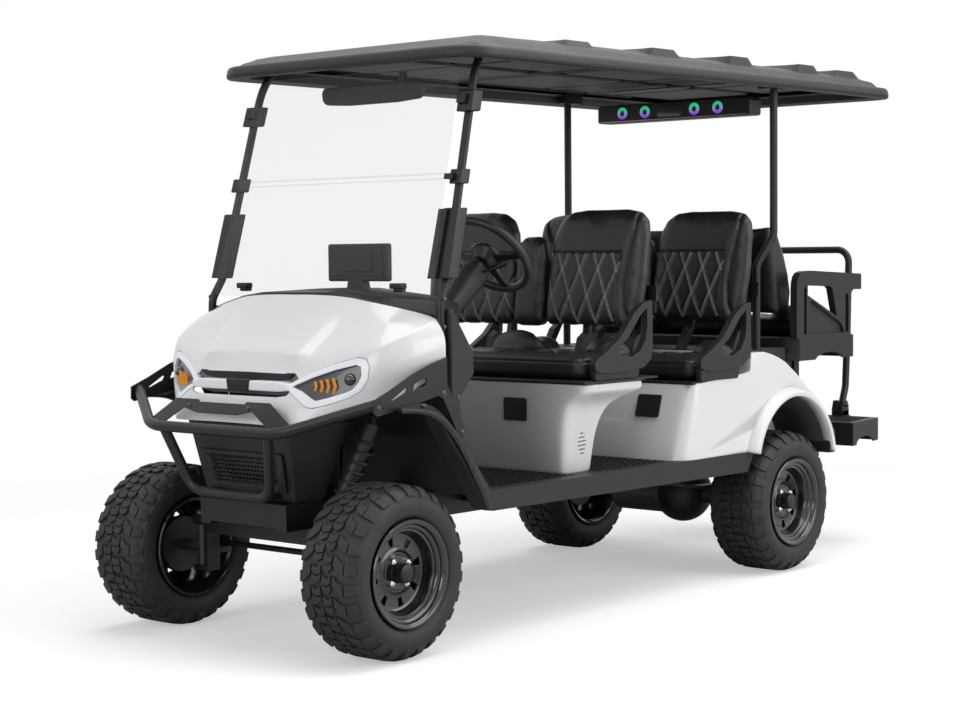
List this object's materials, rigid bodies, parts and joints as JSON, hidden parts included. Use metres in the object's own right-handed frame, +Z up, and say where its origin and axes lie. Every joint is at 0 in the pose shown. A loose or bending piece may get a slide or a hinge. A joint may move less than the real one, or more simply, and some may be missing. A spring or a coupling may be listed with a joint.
{
  "type": "golf cart",
  "caption": "Lifted golf cart with a long canopy, clear windscreen, steered front wheels, lift-up seat cushions and a rear-facing flip seat over a step.",
  "frame": {"origin": "on the ground under the middle of the whole vehicle's bounding box", "axes": "+X to the vehicle's left, -Y forward, +Z up"},
  "size_m": [1.314, 3.704, 2.1359],
  "materials": {
    "body": "pearl white painted moulding",
    "roof_black": "fine black texture",
    "moulding": "textured black moulding",
    "floor": "ribbed black mat",
    "frame_metal": "black powder coat",
    "vinyl": "black stitched vinyl",
    "screen_glass": "clear sheet",
    "lamp": "smoky lens over white light guides",
    "rim_black": "gloss black",
    "tyre": "all-terrain rubber",
    "wheel_grip": "soft black grip",
    "column": "black shroud",
    "screen": "dark touch screen",
    "battery": "dark case"
  },
  "bodies": {
    "chassis": {"battery_block": "battery", "brush_guard": "frame_metal", "dashboard": "moulding", "display": "screen", "floor_pan": "floor", "footplate": "moulding", "frame_posts": "frame_metal", "front_axle": "frame_metal", "front_backrests": "vinyl", "front_canopy_frame": "frame_metal", "front_cowl": "body", "front_flares": "moulding", "front_seat_pod": "body", "grab_hoop": "frame_metal", "grille": "moulding", "headlamps": "lamp", "hip_restraints": "moulding", "lower_fascia": "moulding", "main_frame": "frame_metal", "middle_backrests": "vinyl", "mirror": "moulding", "outriggers": "frame_metal", "pedals": "moulding", "rear_axle": "frame_metal", "rear_backrest": "vinyl", "rear_body": "body", "rear_canopy_frame": "frame_metal", "rear_platform": "moulding", "rockers": "moulding", "roof": "roof_black", "seat_back_frames": "frame_metal", "seat_decks": "moulding", "shock_towers": "frame_metal", "side_panels": "moulding", "sound_bar": "moulding", "steering_column": "column", "suspension": "frame_metal", "windshield_bar": "screen_glass", "windshield_lower": "screen_glass", "windshield_upper": "screen_glass"},
    "knuckle_left": {"knuckle_left": "frame_metal"},
    "knuckle_right": {"knuckle_right": "frame_metal"},
    "tie_rod": {"tie_rod": "frame_metal"},
    "steering_wheel": {"steering_wheel": "wheel_grip"},
    "wheel_front_left": {"rim_front_left": "rim_black", "tyre_front_left": "tyre"},
    "wheel_front_right": {"rim_front_right": "rim_black", "tyre_front_right": "tyre"},
    "wheel_rear_left": {"rim_rear_left": "rim_black", "tyre_rear_left": "tyre"},
    "wheel_rear_right": {"rim_rear_right": "rim_black", "tyre_rear_right": "tyre"},
    "front_seat": {"front_cushion": "vinyl"},
    "middle_seat": {"middle_cushion": "vinyl"},
    "rear_seat": {"rear_cushion": "vinyl"}
  },
  "joints": [
    {"name": "steer_left", "type": "hinge", "parent": "chassis", "child": "knuckle_left", "pos_m": [0.365, -1.56, 0.292], "axis": [0, 0, 1], "range_deg": [-28, 28]},
    {"name": "steer_right", "type": "hinge", "parent": "chassis", "child": "knuckle_right", "pos_m": [-0.365, -1.56, 0.292], "axis": [0, 0, 1], "range_deg": [-28, 28]},
    {"name": "steering_turn", "type": "hinge", "parent": "chassis", "child": "steering_wheel", "pos_m": [0.3, -0.748, 1.328], "axis": [0, 0.7443, 0.6678], "range_deg": [-340, 340]},
    {"name": "tie_rod_slide", "type": "slide", "parent": "chassis", "child": "tie_rod", "axis": [1, 0, 0], "range_m": [-0.056, 0.056]},
    {"name": "front_left_spin", "type": "hinge", "parent": "knuckle_left", "child": "wheel_front_left", "pos_m": [0.526, -1.56, 0.292], "axis": [1, 0, 0], "continuous": true},
    {"name": "front_right_spin", "type": "hinge", "parent": "knuckle_right", "child": "wheel_front_right", "pos_m": [-0.526, -1.56, 0.292], "axis": [1, 0, 0], "continuous": true},
    {"name": "rear_left_spin", "type": "hinge", "parent": "chassis", "child": "wheel_rear_left", "pos_m": [0.526, 0.796, 0.292], "axis": [1, 0, 0], "continuous": true},
    {"name": "rear_right_spin", "type": "hinge", "parent": "chassis", "child": "wheel_rear_right", "pos_m": [-0.526, 0.796, 0.292], "axis": [1, 0, 0], "continuous": true},
    {"name": "front_seat_lid", "type": "hinge", "parent": "chassis", "child": "front_seat", "pos_m": [0, -0.54, 0.8633], "axis": [1, 0, 0], "range_deg": [0, 60]},
    {"name": "middle_seat_lid", "type": "hinge", "parent": "chassis", "child": "middle_seat", "pos_m": [0, 0.175, 0.8223], "axis": [1, 0, 0], "range_deg": [0, 60]},
    {"name": "rear_seat_flip", "type": "hinge", "parent": "chassis", "child": "rear_seat", "pos_m": [0, 1.433, 0.968], "axis": [-1, 0, 0], "range_deg": [0, 180]}
  ],
  "couplings": [
    {"joint": "steer_right", "follows": "steer_left", "ratio": 1},
    {"joint": "steering_turn", "follows": "steer_left", "ratio": 12},
    {"joint": "tie_rod_slide", "follows": "steer_left", "m_per_rad": -0.11}
  ]
}
